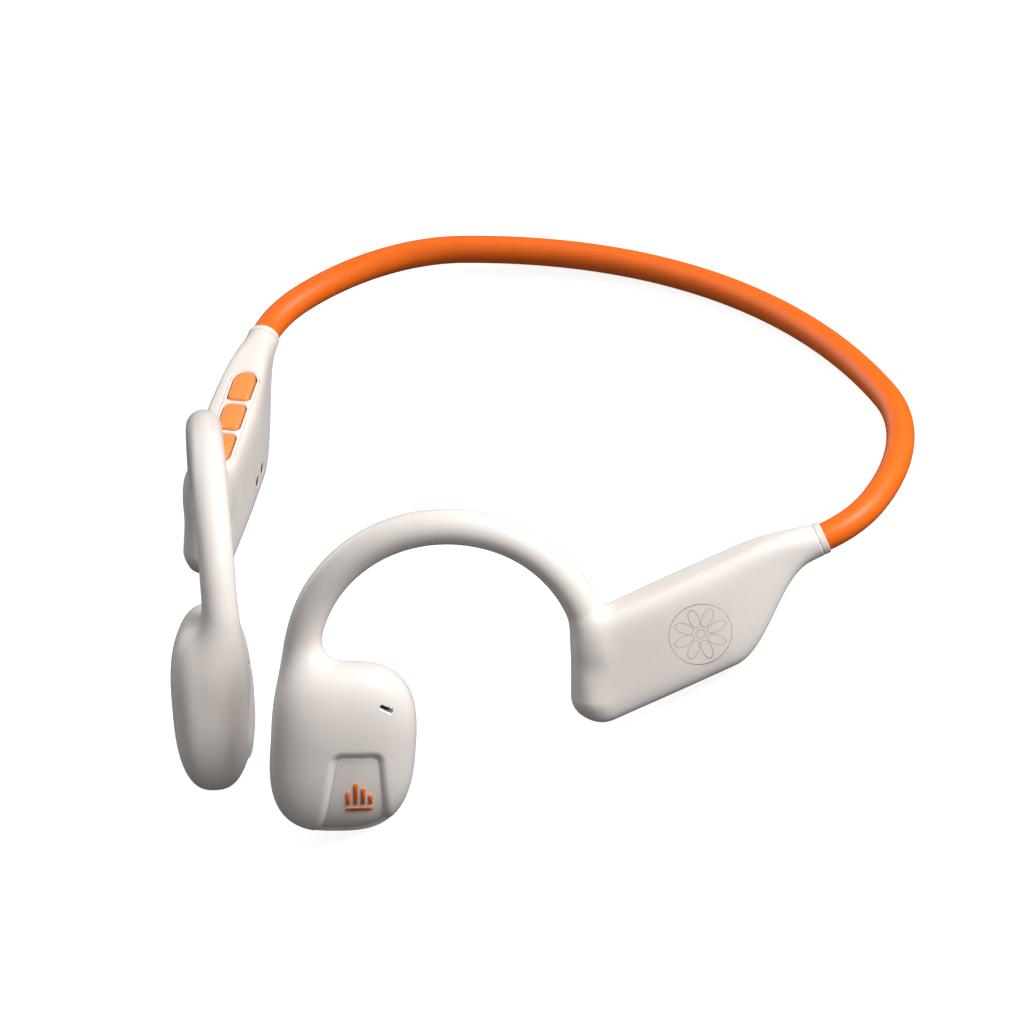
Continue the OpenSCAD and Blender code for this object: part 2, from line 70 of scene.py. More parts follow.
SPEAKER_W, SPEAKER_H, SPEAKER_T = 21.4, 26.6, 11.4
SPEAKER_SKEW, OUTLINE_POWER, EDGE_POWER = 0.06, 2.8, 2.6
SKIN_Y, SKIN_T = -4.4, 0.7
PAD_AT, PAD_W, PAD_H, PAD_FACE_Y = (-1.5, -3), 11, 14, -5.5
PANEL_AT, PANEL_TOP, PANEL_DEPTH = -2, 1.2, 0.7
PANEL_HALF_TOP, PANEL_CORNER_R = 3.6, 1.3
MIC_AT, MIC_TILT = (-6.2, 8.1), 30
ROW_AT, ROW_Y, BUTTON_PITCH = 21.7, -0.8, 6.7
BUTTON_LEN, BUTTON_W = 5.7, 3.3
BEZEL_LEN, BEZEL_W, BEZEL_Z = 21.4, 4.6, POD_TOP - 1.4
FLANGE = 0.35
CHARGE_AT, CHARGE_PITCH, CHARGE_HOLE_R = (22, -7.4), 3, 0.85
CAVITY_R, CAVITY_TOP, PAD_HOLE_R = 7.45, 2.25, 4

# ---- sizes of the visual skins only ----

SKIN_STEP, QUICK_STEP, PANEL_STEP = 0.3, 0.4, 0.25
POD_SQUARENESS = 5
ARM_BOUNDS = (2, -80, -24), (64, 3, 32)
HOOK_BLEND, POD_BLEND, FRONT_BLEND = 4.5, 2.4, 0.8
HOOK_SWELL, STEM_TAIL = 0.55, 7
FRONT_PULL = 0.8
FRONT_TOP, FRONT_BOTTOM, FRONT_WIDENING = (35.7, 0, 3.0), (39.0, 0, -7.8), 1.05
RECESS_BACK, RECESS_FILLET, RECESS_LIP, WALL_SLANT = 1.6, 0.25, 0.5, 0.7
PANEL_PROUD, PANEL_GAP = 0.06, 0.65
FRONT_FLARE, REAR_FLARE = 2.4, 1.4
EMBLEM_SUNK, EMBLEM_SIDE, EMBLEM_TOP = -0.3, 0.12, 0.17
PAD_PROUD = 0.15
COLLAR_LAP = 0.06
BEZEL_SEAM, BUTTON_GAP, BUTTON_CROWN = 0.08, 0.25, 0.25
ROSETTE_AT, LINE_R = (21.5, -4.2), 0.08
ROOT_CUT_Z, NECK_CUT_TURN, HOOK_MIDDLE_X = 5.2, 6, 20
POCKET_FLOOR_Z, POD_CUTTER_TOP = -2.2, 8


def sin(degrees):
    return math.sin(math.radians(degrees))


def cos(degrees):
    return math.cos(math.radians(degrees))


COLLAR_X = (NAPE_R * sin(NAPE_TURN) + SIDE_R * (sin(NAPE_TURN + SIDE_TURN) - sin(NAPE_TURN))
            + LEAD_IN_R * (sin(COLLAR_HEADING) - sin(NAPE_TURN + SIDE_TURN)))


# ---- frames: each is a rotation and an origin in the worn frame ----

def turn(axis, degrees):
    return np.array(Matrix.Rotation(math.radians(degrees), 3, axis))


POD = (turn("Z", -90 - POD_TOE) @ turn("X", POD_ROLL), np.array([COLLAR_X, 0, COLLAR_Z]))
HOOK = (turn("Z", -90 - HOOK_TOE) @ turn("X", HOOK_LEAN) @ turn("X", 90),
        POD[1] - HOOK_AT * np.array([sin(POD_TOE), cos(POD_TOE), 0]))
SPEAKER = (turn("Z", -90 - SPEAKER_TOE) @ turn("Y", SPEAKER_PITCH) @ turn("X", SPEAKER_ROLL),
           np.array(SPEAKER_AT, float))
BAND = (turn("X", -BAND_SLOPE), np.array([0, 0, COLLAR_Z]))


def to_worn(place, points):
    return np.asarray(points, float) @ place[0].T + place[1]


def to_local(place, points):
    return (points - place[1]) @ place[0]


def from_row(points):
    return (np.asarray(points, float) / MM - TABLE_SHIFT) @ turn("X", -TABLE_TILT)


def to_row(points, side=1):
    points = np.array(points, float)
    points[:, 0] *= side
    return (points @ turn("X", -TABLE_TILT).T + TABLE_SHIFT) * MM


# ---- meshes ----

def new_piece(name, points, faces, side, material, body="headset", replaces=()):
    """Makes an object from points in the worn frame, mirrored to the right where side is -1."""
    mesh = bpy.data.meshes.new(name)
    faces = [tuple(f) if side > 0 else tuple(reversed(f)) for f in faces]
    mesh.from_pydata(to_row(points, side).tolist(), [], faces)
    mesh.validate()
    for polygon in mesh.polygons:
        polygon.use_smooth = True
    obj = bpy.data.objects.new(name, mesh)
    bpy.context.scene.collection.objects.link(obj)
    if material:
        mesh.materials.append(material)
    if body:
        declare(obj, body, replaces)
    return obj


def declare(obj, body, replaces=()):
    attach(obj, body)
    if replaces:
        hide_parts(*replaces)


def sharpen(obj, degrees):
    """Keeps edges sharper than an angle crisp."""
    bm = bmesh.new()
    bm.from_mesh(obj.data)
    for edge in bm.edges:
        if edge.is_manifold and edge.calc_face_angle(0) > math.radians(degrees):
            edge.smooth = False
    bm.to_mesh(obj.data)
    bm.free()


def cut(obj, cutter, operation="DIFFERENCE"):
    """Cuts one closed mesh with another and removes the cutter."""
    modifier = obj.modifiers.new("cut", "BOOLEAN")
    modifier.object = cutter
    modifier.operation = operation
    modifier.solver = "EXACT"
    graph = bpy.context.evaluated_depsgraph_get()
    mesh = bpy.data.meshes.new_from_object(obj.evaluated_get(graph))
    obj.modifiers.clear()
    old = obj.data
    obj.data = mesh
    mesh.name = obj.name
    bpy.data.meshes.remove(old)
    bpy.data.objects.remove(cutter)


def prism(outline, low, high):
    """A closed prism over a 2-D outline."""
    outline = np.array(outline, float)
    n = len(outline)
    points = np.vstack([np.column_stack([outline, np.full(n, z)]) for z in (low, high)])
    faces = [tuple(reversed(range(n))), tuple(range(n, 2 * n))]
    faces += [(j, (j + 1) % n, n + (j + 1) % n, n + j) for j in range(n)]
    return points, faces


def rounded_outline(length, width, radius, steps=8):
    points = []
    for cx, cy, start in ((1, 1, 0), (-1, 1, 90), (-1, -1, 180), (1, -1, 270)):
        for i in range(steps + 1):
            a = start + 90 * i / steps
            points.append((cx * (length / 2 - radius) + radius * cos(a),
                           cy * (width / 2 - radius) + radius * sin(a)))
    return points


def tube(path, radius, sides):
    """A closed round tube along a path in the worn frame."""
    path = np.array(path, float)
    tangent = np.gradient(path, axis=0)
    tangent /= np.linalg.norm(tangent, axis=1)[:, None]
    normal = np.cross(tangent[0], [0.3, 0.2, 1.0])
    rings = []
    for p, t in zip(path, tangent):
        normal = normal - t * (normal @ t)
        normal /= np.linalg.norm(normal)
        other = np.cross(t, normal)
        a = np.linspace(0, 2 * math.pi, sides, endpoint=False)
        rings.append(p + radius * (np.cos(a)[:, None] * normal + np.sin(a)[:, None] * other))
    n = sides
    faces = [(i * n + j, i * n + (j + 1) % n, (i + 1) * n + (j + 1) % n, (i + 1) * n + j)
             for i in range(len(path) - 1) for j in range(n)]
    faces += [tuple(reversed(range(n))), tuple(range((len(path) - 1) * n, len(path) * n))]
    return np.vstack(rings), faces


# ---- smooth bodies as distance fields ----

def ramp(t):
    t = np.clip(t, 0, 1)
    return t * t * (3 - 2 * t)


def blend_union(a, b, width):
    h = np.maximum(width - np.abs(a - b), 0) / width
    return np.minimum(a, b) - h * h * width / 4


def round_both(a, b, radius):
    """Intersection of two solids with a rounded edge."""
    outside = np.hypot(np.maximum(a + radius, 0), np.maximum(b + radius, 0))
    return np.minimum(-radius, np.maximum(a, b)) + outside


def roof(x):
    return COLLAR_R + (POD_TOP - COLLAR_R) * np.sin(np.pi / 2 * np.clip(x / ROOF_RAMP, 0, 1))


def floor_z(x):
    return -COLLAR_R - (POD_BELLY - COLLAR_R) * ramp((x - BELLY_START) / BELLY_RAMP)


def half_y(x):
    return COLLAR_R + (POD_T / 2 - COLLAR_R) * ramp(x / 20) - 0.5 * ramp((x - 24) / 17)


def pod_distance(p):
    x, y, z = to_local(POD, p).T
    x = x + POD_LEAN * ramp((x - 20) / 21) * (z + POD_BELLY / 2)
    along = np.clip(x, 0, POD_LEN)
    top, bottom, half = roof(along), floor_z(along), half_y(along)
    n = 2 + (POD_SQUARENESS - 2) * ramp(along / 12)
    v = z - (top + bottom) / 2
    rho = (np.abs(y / half) ** n + np.abs(v / ((top - bottom) / 2)) ** n) ** (1 / n) + 1e-6
    section = np.hypot(y, v) * (1 - 1 / rho)
    body = round_both(section, x - POD_LEN + FRONT_PULL, POD_FRONT_R)
    return np.maximum(body, -x)


def front_edge_distance(p):
    """The rounded front of the pod: the hook's tube carried down to the bottom corner, widening."""
    q, axis = to_local(POD, p) - FRONT_TOP, np.subtract(FRONT_BOTTOM, FRONT_TOP)
    down = np.clip(q @ axis / (axis @ axis), 0, 1)
    return np.linalg.norm(q - down[:, None] * axis, axis=1) - (HOOK_R + FRONT_WIDENING * down)


def hook_centre_line(p):
    """Distance to the hook's centre line, how far along the nearest point is, and where the stem starts."""
    x, y, z = to_local(HOOK, p).T
    back_c = np.array([HOOK_BACK_R, HOOK_RISE])
    back_end = 180 - HOOK_BACK_TURN
    front_end = back_end - HOOK_FRONT_TURN
    front_c = back_c + (HOOK_BACK_R - HOOK_FRONT_R) * np.array([cos(back_end), sin(back_end)])
    best, at = np.full(x.shape, 1e9), np.zeros(x.shape)

    def nearer(distance, where):
        nonlocal best, at
        closer = distance < best
        best, at = np.where(closer, distance, best), np.where(closer, where, at)

    up = np.clip(y, -0.5, HOOK_RISE)
    nearer(np.sqrt(x * x + (y - up) ** 2 + z * z), up - HOOK_RISE)
    start = 0.0
    arcs = ((back_c, HOOK_BACK_R, 180, back_end), (front_c, HOOK_FRONT_R, back_end, front_end))
    for c, r, high, low in arcs:
        angle = np.degrees(np.arctan2(y - c[1], x - c[0]))
        angle = np.where(angle < -90, angle + 360, angle)
        angle = np.clip(angle, low, high)
        px, py = c[0] + r * np.cos(np.radians(angle)), c[1] + r * np.sin(np.radians(angle))
        nearer(np.sqrt((x - px) ** 2 + (y - py) ** 2 + z * z), start + r * np.radians(high - angle))
        start += r * math.radians(high - low)
    tip = front_c + HOOK_FRONT_R * np.array([cos(front_end), sin(front_end)])
    heading = np.array([cos(front_end - 90), sin(front_end - 90)])
    s = np.clip((x - tip[0]) * heading[0] + (y - tip[1]) * heading[1], 0, HOOK_STEM + STEM_TAIL)
    px, py = tip[0] + s * heading[0], tip[1] + s * heading[1]
    nearer(np.sqrt((x - px) ** 2 + (y - py) ** 2 + z * z), start + s)
    return best, at, start


def hook_distance(p):
    """The hook's tube, which swells towards its stem and thins out inside the speaker housing."""
    distance, at, stem_at = hook_centre_line(p)
    swell = HOOK_SWELL * ramp((at - stem_at + 9) / 12)
    thinning = 0.02 * np.maximum(at - stem_at - 0.5, 0) ** 2
    return distance - (HOOK_R + swell - thinning)


def pillow(q, inset):
    """The speaker housing's rounded body, in its own frame."""
    x, y, z = q
    x = x + SPEAKER_SKEW * z
    w, h, t = SPEAKER_W / 2 - inset, SPEAKER_H / 2 - inset, SPEAKER_T / 2 - inset
    outline = (np.abs(x / w) ** OUTLINE_POWER + np.abs(z / h) ** OUTLINE_POWER) ** (1 / OUTLINE_POWER)
    rho = (outline ** EDGE_POWER + np.abs(y / t) ** EDGE_POWER) ** (1 / EDGE_POWER) + 1e-6
    return np.sqrt(x * x + y * y + z * z) * (1 - 1 / rho)


def trapezoid(x, z, inset):
    """Distance in 2-D from the recess outline, which has rounded upper corners and widens downwards."""
    slope = np.where(x > PANEL_AT, FRONT_FLARE, REAR_FLARE) / (PANEL_TOP + SPEAKER_H / 2)
    half = PANEL_HALF_TOP + slope * (PANEL_TOP - z)
    sides = (np.abs(x - PANEL_AT) - half) / np.hypot(1, slope)
    return round_both(sides + inset, z - PANEL_TOP + inset, PANEL_CORNER_R)


def arm_distance(p):
    """Pod, hook and speaker housing as one solid, with the panel's recess cut in."""
    q = to_local(SPEAKER, p).T
    housing = pillow(q, 0)
    walls = trapezoid(q[0], q[2], 0) - WALL_SLANT * housing
    recess = np.maximum(walls / math.hypot(1, WALL_SLANT), RECESS_BACK - q[1])
    recess = round_both(recess, -pillow(q, PANEL_DEPTH), RECESS_FILLET)
    joined = blend_union(hook_distance(p), housing, HOOK_BLEND)
    joined = round_both(joined, -recess, RECESS_LIP)
    joined = blend_union(joined, pod_distance(p), POD_BLEND)
    return blend_union(joined, front_edge_distance(p), FRONT_BLEND)


def panel_distance(p):
    q = to_local(SPEAKER, p).T
    body = np.maximum(pillow(q, PANEL_DEPTH - PANEL_PROUD), -pillow(q, PANEL_DEPTH + 0.5))
    body = np.maximum(body, RECESS_BACK + 0.05 - q[1])
    return round_both(body, trapezoid(q[0], q[2], PANEL_GAP), 0.1)


def surface_net(distance, low, high, step, settle=3):
    """Quad mesh of the zero surface of a distance field, with points settled onto it."""
    low, high = np.array(low, float), np.array(high, float)
    count = np.ceil((high - low) / step).astype(int) + 1
    ys, zs = low[1] + step * np.arange(count[1]), low[2] + step * np.arange(count[2])
    field = np.empty(count, np.float32)
    for i in range(count[0]):
        y, z = np.meshgrid(ys, zs, indexing="ij")
        slab = np.column_stack([np.full(y.size, low[0] + step * i), y.ravel(), z.ravel()])
        field[i] = distance(slab).reshape(y.shape)
    inside = field < 0
    corners = [(a, b, c) for a in (0, 1) for b in (0, 1) for c in (0, 1)]
    nx, ny, nz = np.array(inside.shape) - 1
    total = sum(inside[a:nx + a, b:ny + b, c:nz + c].astype(np.int8) for a, b, c in corners)
    cells = np.argwhere((total > 0) & (total < 8))
    index = np.full(np.array(field.shape) - 1, -1, np.int64)
    index[tuple(cells.T)] = np.arange(len(cells))
    total_at, hits = np.zeros((len(cells), 3)), np.zeros(len(cells))
    for a in corners:
        for axis in range(3):
            if a[axis]:
                continue
            b = tuple(v + (k == axis) for k, v in enumerate(a))
            fa, fb = field[tuple((cells + a).T)], field[tuple((cells + b).T)]
            crossing = (fa < 0) != (fb < 0)
            t = np.where(crossing, fa / np.where(crossing, fa - fb, 1), 0)
            at = np.array(a) + t[:, None] * (np.array(b) - a)
            total_at += at * crossing[:, None]
            hits += crossing
    points = low + step * (cells + total_at / hits[:, None])
    quads = []
    for axis in range(3):
        u, v = (axis + 1) % 3, (axis + 2) % 3
        ahead = np.roll(inside, -1, axis)
        edges = inside != ahead
        sel = [slice(1, -1)] * 3
        sel[axis] = slice(0, -1)
        trimmed = np.zeros_like(edges)
        trimmed[tuple(sel)] = edges[tuple(sel)]
        at = np.argwhere(trimmed)
        step_u, step_v = np.eye(3, dtype=int)[u], np.eye(3, dtype=int)[v]
        ring = [at - step_u - step_v, at - step_v, at, at - step_u]
        quad = np.column_stack([index[tuple(r.T)] for r in ring])
        flip = ~inside[tuple(at.T)]
        quad[flip] = quad[flip][:, ::-1]
        quads.append(quad)
    quads = np.vstack(quads)
    quads = quads[(quads >= 0).all(1)]
    a, b = quads.ravel(), np.roll(quads, -1, 1).ravel()
    for _ in range(settle):
        total_at, hits = np.zeros_like(points), np.zeros(len(points))
        for s, e in ((a, b), (b, a)):
            np.add.at(total_at, s, points[e])
            np.add.at(hits, s, 1)
        points = total_at / hits[:, None]
        for _ in range(2):
            points = onto_surface(distance, points, step)
    return points, quads


def onto_surface(distance, points, step):
    """Moves points along the field's gradient onto its zero surface, by half a step at most."""
    reach = 0.05
    d = distance(points)
    gradient = np.column_stack([
        (distance(points + reach * axis) - distance(points - reach * axis)) / (2 * reach)
        for axis in np.eye(3)])
    size = np.maximum((gradient ** 2).sum(1), 0.04)
    move = -(d / size)[:, None] * gradient
    length = np.linalg.norm(move, axis=1)
    return points + move * np.minimum(1, 0.5 * step / np.maximum(length, 1e-9))[:, None]


# ---- materials ----

def node_material(name, colour, roughness, speckle=0.02, speckle_size=900, grain=0.02, grain_size=3500,
                  **shader):
    """Plastic, rubber or metal with colour drift, uneven gloss and a fine grain."""
    material = bpy.data.materials.new(name)
    material.use_nodes = True
    nodes, links = material.node_tree.nodes, material.node_tree.links
    surface = nodes["Principled BSDF"]
    place = nodes.new("ShaderNodeTexCoord")

    def noise(size, detail):
        texture = nodes.new("ShaderNodeTexNoise")
        texture.inputs["Scale"].default_value = size
        texture.inputs["Detail"].default_value = detail
        links.new(place.outputs["Object"], texture.inputs["Vector"])
        return texture.outputs["Fac"]

    drift = nodes.new("ShaderNodeMapRange")
    drift.inputs["From Min"].default_value, drift.inputs["From Max"].default_value = 0.3, 0.7
    drift.inputs["To Min"].default_value, drift.inputs["To Max"].default_value = 1 - speckle, 1 + speckle
    links.new(noise(speckle_size, 3), drift.inputs["Value"])
    tint = nodes.new("ShaderNodeVectorMath")
    tint.operation = "SCALE"
    tint.inputs[0].default_value = colour
    links.new(drift.outputs["Result"], tint.inputs["Scale"])
    links.new(tint.outputs["Vector"], surface.inputs["Base Color"])

    gloss = nodes.new("ShaderNodeMapRange")
    gloss.inputs["From Min"].default_value, gloss.inputs["From Max"].default_value = 0.3, 0.7
    gloss.inputs["To Min"].default_value = roughness - 0.04
    gloss.inputs["To Max"].default_value = roughness + 0.04
    links.new(noise(speckle_size * 0.4, 4), gloss.inputs["Value"])
    links.new(gloss.outputs["Result"], surface.inputs["Roughness"])

    bump = nodes.new("ShaderNodeBump")
    bump.inputs["Strength"].default_value = grain
    bump.inputs["Distance"].default_value = 0.0001
    links.new(noise(grain_size, 2), bump.inputs["Height"])
    links.new(bump.outputs["Normal"], surface.inputs["Normal"])
    for key, value in shader.items():
        surface.inputs[key.replace("_", " ")].default_value = value
    return material


CREAM = node_material("cream_plastic", (0.83, 0.765, 0.72), 0.36, speckle=0.012, speckle_size=260,
                      grain=0.12, grain_size=5200)
PANEL = node_material("panel_plastic", (0.80, 0.73, 0.685), 0.42, speckle=0.012, speckle_size=260,
                      grain=0.15, grain_size=5200)
PAD = node_material("pad_silicone", (0.78, 0.71, 0.66), 0.55, speckle=0.02, speckle_size=500,
                    grain=0.3, grain_size=3500)
ORANGE = node_material("orange_silicone", (0.90, 0.15, 0.006), 0.44, speckle=0.03, speckle_size=300,
                       grain=0.15, grain_size=4200, Specular_IOR_Level=0.35)
BUTTON = node_material("button_plastic", (0.92, 0.29, 0.07), 0.34, speckle=0.02, speckle_size=600,
                       grain=0.1, grain_size=4200)
EMBLEM = node_material("emblem_print", (0.80, 0.17, 0.03), 0.4, speckle=0.03, speckle_size=900)
PRINT = node_material("pod_print", (0.46, 0.39, 0.35), 0.5, speckle=0.08, speckle_size=1500)
DARK = node_material("dark_mesh", (0.02, 0.02, 0.022), 0.6, speckle=0.3, speckle_size=6000, grain=0.6)
STEEL = node_material("steel", (0.55, 0.55, 0.57), 0.32, speckle=0.06, grain=0.1, Metallic=1.0)
MAGNET = node_material("nickel_plate", (0.68, 0.67, 0.66), 0.18, speckle=0.04, grain=0.05, Metallic=1.0)
GOLD = node_material("gold_plate", (0.9, 0.62, 0.25), 0.22, speckle=0.05, grain=0.05, Metallic=1.0)
COPPER = node_material("copper_wire", (0.72, 0.30, 0.16), 0.3, speckle=0.15, speckle_size=3000, Metallic=1.0)
BLACK = node_material("black_rubber", (0.03, 0.03, 0.032), 0.55, speckle=0.15, grain=0.3)
BOARD = node_material("solder_mask", (0.02, 0.13, 0.06), 0.35, speckle=0.2, speckle_size=2500, grain=0.2)

CAD_MATERIALS = {
    "spring_wire": STEEL, "lead": BLACK, "cream_shell": CREAM, "cream_silicone": CREAM, "steel": STEEL,
    "panel": PANEL, "emblem": EMBLEM, "mesh": DARK, "microphone": GOLD, "magnet": MAGNET, "copper": COPPER,
    "pad_silicone": PAD, "orange_button": BUTTON, "orange_silicone": ORANGE, "membrane": BLACK,
    "board": BOARD, "black_module": BLACK, "gold": GOLD, "battery_can": STEEL,
}


def dress_cad():
    """Gives every CAD node its material."""
    slots = {s["node"]: s["material_slot"] for s in frame["record"]["subparts"]}
    for node, obj in frame["nodes"].items():
        obj.data.materials.clear()
        obj.data.materials.append(CAD_MATERIALS[slots[node]])


# ---- arms ----

def cut_at(bm, verts, place, point, direction):
    """Removes what lies ahead of a plane, among the given vertices, and closes the cut."""
    origin = to_row(to_worn(place, [point]))[0]
    ahead = to_row(to_worn(place, [np.add(point, direction)]))[0]
    inside = set(verts)
    geom = list(verts)
    geom += [e for e in bm.edges if e.verts[0] in inside and e.verts[1] in inside]
    geom += [f for f in bm.faces if all(v in inside for v in f.verts)]
    bmesh.ops.bisect_plane(bm, geom=geom, plane_co=Vector(origin.tolist()),
                           plane_no=Vector((ahead - origin).tolist()).normalized(), clear_outer=True)
    rim = [e for e in bm.edges if e.is_boundary]
    for edge in rim:
        edge.smooth = False
    bmesh.ops.holes_fill(bm, edges=rim)


def turned(plane):
    """The same cut with its other side removed."""
    place, point, direction_out = plane
    return place, point, tuple(-v for v in direction_out)


def arm_meshes():
    """Pod, hook and speaker skins of the left arm: one smooth surface, cut at two planes."""
    points, quads = surface_net(arm_distance, *ARM_BOUNDS, SKIN_STEP)
    whole = new_piece("skin", points, quads, 1, None, body=None)
    back_end = 180 - HOOK_BACK_TURN
    cut_angle = back_end - HOOK_FRONT_TURN + NECK_CUT_TURN
    centre = (np.array([HOOK_BACK_R, HOOK_RISE])
              + (HOOK_BACK_R - HOOK_FRONT_R) * np.array([cos(back_end), sin(back_end)]))
    neck = centre + HOOK_FRONT_R * np.array([cos(cut_angle), sin(cut_angle)])
    root_cut = (POD, (HOOK_AT, 0, ROOT_CUT_Z), (0, 0, 1))
    neck_cut = (HOOK, (neck[0], neck[1], 0), (cos(cut_angle - 90), sin(cut_angle - 90), 0))
    meshes = []
    for part in ("pod", "hook", "speaker"):
        bm = bmesh.new()
        bm.from_mesh(whole.data)
        x = to_local(HOOK, from_row([v.co for v in bm.verts]))[:, 0]
        rear = [v for v, vx in zip(bm.verts, x) if vx < HOOK_MIDDLE_X]
        front = [v for v, vx in zip(bm.verts, x) if vx >= HOOK_MIDDLE_X]
        if part == "pod":
            bmesh.ops.delete(bm, geom=front, context="VERTS")
            cut_at(bm, bm.verts[:], *root_cut)
        elif part == "speaker":
            bmesh.ops.delete(bm, geom=rear, context="VERTS")
            cut_at(bm, bm.verts[:], *turned(neck_cut))
        else:
            cut_at(bm, rear, *turned(root_cut))
            cut_at(bm, [v for v in front if v.is_valid], *neck_cut)
        mesh = bpy.data.meshes.new(part)
        bm.to_mesh(mesh)
        bm.free()
        meshes.append(mesh)
    bpy.data.objects.remove(whole)
    return meshes


def mirrored(mesh, name):
    """The right arm's copy of a left arm's mesh."""
    other = mesh.copy()
    other.name = name
    bm = bmesh.new()
    bm.from_mesh(other)
    bmesh.ops.scale(bm, vec=(-1, 1, 1), verts=bm.verts)
    bmesh.ops.reverse_faces(bm, faces=bm.faces)
    bm.to_mesh(other)
    bm.free()
    return other


def piece_from_mesh(name, mesh, material, body="headset", replaces=()):
    mesh.name = name
    mesh.materials.clear()
    mesh.materials.append(material)
    obj = bpy.data.objects.new(name, mesh)
    bpy.context.scene.collection.objects.link(obj)
    declare(obj, body, replaces)
    return obj


def local_cutter(place, points, faces, side):
    return new_piece("cutter", to_worn(place, points), faces, side, None, body=None)


def y_cylinder(x, z, low, high, radius, sides=64):
    outline = [(radius * cos(360 * i / sides), radius * sin(360 * i / sides)) for i in range(sides)]
    return y_prism(outline, x, z, low, high)


def y_prism(outline, x, z, low, high):
    """A prism turned so that its axis runs along a speaker's or pod's Y."""
    points, faces = prism(outline, -high, -low)
    return np.column_stack([points[:, 0] + x, -points[:, 2], points[:, 1] + z]), faces


def stadium(length, width, steps=24):
    return rounded_outline(length, width, width / 2 - 1e-4, steps)


def button_outline(i, grow):
    """The middle button is a rounded rectangle; the outer two are round at their outer ends."""
    length, width = BUTTON_LEN + 2 * grow, BUTTON_W + 2 * grow
    corner, end = 0.8 + grow, width / 2 - 1e-4
    reach = BUTTON_LEN / 2 - 1 + BUTTON_W / 2 + grow
    points = []
    for cx, cy, start in ((1, 1, 0), (-1, 1, 90), (-1, -1, 180), (1, -1, 270)):
        r = end if cx == i else corner
        x = reach if cx == i else length / 2
        for k in range(9):
            a = start + 90 * k / 8
            points.append((cx * (x - r) + r * cos(a), cy * (width / 2 - r) + r * sin(a)))
    return [(px + i * BUTTON_PITCH, py) for px, py in points]


def build_speaker_details(side, word):
    points, quads = surface_net(panel_distance, *speaker_bounds(), PANEL_STEP)
    new_piece(f"accent_panel_skin_{word}", points, quads, side, PANEL,
              replaces=[f"accent_panel_{word}"])
    emblem(side, word)
    pad(side, word)


def speaker_bounds():
    """Lowest and highest corners of a box round the speaker housing, in the worn frame."""
    corners = [to_worn(SPEAKER, [(sx * 11.5, sy * 6.5, sz * 14)])[0]
               for sx in (-1, 1) for sy in (-1, 1) for sz in (-1, 1)]
    return np.min(corners, 0), np.max(corners, 0)


def housing_surface_y(x, z, inset):
    """How far out the housing's surface stands at a point of its own X and Z."""
    x = x + SPEAKER_SKEW * z
    w, h, t = SPEAKER_W / 2 - inset, SPEAKER_H / 2 - inset, SPEAKER_T / 2 - inset
    outline = np.abs(x / w) ** OUTLINE_POWER + np.abs(z / h) ** OUTLINE_POWER
    return t * np.maximum(1 - outline ** (EDGE_POWER / OUTLINE_POWER), 0.01) ** (1 / EDGE_POWER)


def divided(outline, longest):
    """The same outline with points added along its long edges."""
    points = []
    for (x0, y0), (x1, y1) in zip(outline, outline[1:] + outline[:1]):
        count = max(1, math.ceil(math.hypot(x1 - x0, y1 - y0) / longest))
        points += [(x0 + (x1 - x0) * k / count, y0 + (y1 - y0) * k / count) for k in range(count)]
    return points


def emblem(side, word):
    """A plain level meter: four bars over a base line, laid on the curved panel."""
    bars = [(1.35 - 1.1 * i, -7.3 + h / 2, 0.62, h) for i, h in enumerate((2.2, 3.6, 2.8, 1.6))]
    bars.append((-0.3, -8.15, 3.95, 0.55))
    all_points, all_faces, base = [], [], 0
    for cx, cz, w, h in bars:
        outline = divided(rounded_outline(w, h, 0.14, 3), 0.3)
        top = [(x * 0.93, z * 0.97) for x, z in outline]
        for ring, lift in ((outline, EMBLEM_SUNK), (outline, EMBLEM_SIDE), (top, EMBLEM_TOP)):
            for u, v in ring:
                x, z = PANEL_AT + cx + u, cz + v
                all_points.append((x, housing_surface_y(x, z, PANEL_DEPTH - PANEL_PROUD) + lift, z))
        n = len(outline)
        for start in (base, base + n):
            for j in range(n):
                k = (j + 1) % n
                all_faces.append((start + k, start + j, start + n + j, start + n + k))
        all_faces.append(tuple(range(base, base + n)))
        all_faces.append(tuple(reversed(range(base + 2 * n, base + 3 * n))))
        base += 3 * n
    new_piece(f"emblem_print_{word}", to_worn(SPEAKER, all_points), all_faces, side, EMBLEM,
              replaces=[f"emblem_{word}"])


def pad(side, word):
    """Soft contact pad that follows the housing's curve, flat where it meets the cheekbone."""
    outline = np.array(rounded_outline(PAD_W, PAD_H, 4.9, 14))
    rings = [(1.0, None), (1.0, -0.35), (0.985, -0.12), (0.95, 0.02), (0.9, 0.1)]
    rings += [(scale, PAD_PROUD) for scale in (0.82, 0.7, 0.55, 0.35, 0.15)]
    n = len(outline)
    points = []
    for scale, lift in rings:
        for u, v in outline * scale:
            x, z = PAD_AT[0] + u, PAD_AT[1] + v
            if lift is None:
                y = -(SKIN_Y - 0.2)
            else:
                y = max(min(housing_surface_y(x, z, 0) + lift, -PAD_FACE_Y), -(SKIN_Y - 0.3))
            points.append((x, -y, z))
    faces = [tuple(range(n))]
    for i in range(len(rings) - 1):
        for j in range(n):
            k = (j + 1) % n
            faces.append((i * n + k, i * n + j, (i + 1) * n + j, (i + 1) * n + k))
    faces.append(tuple(reversed(range((len(rings) - 1) * n, len(rings) * n))))
    new_piece(f"contact_pad_skin_{word}", to_worn(SPEAKER, points), faces, side, PAD,
              body=f"{word}_pad", replaces=[f"contact_pad_{word}"])


# ---- neckband ----

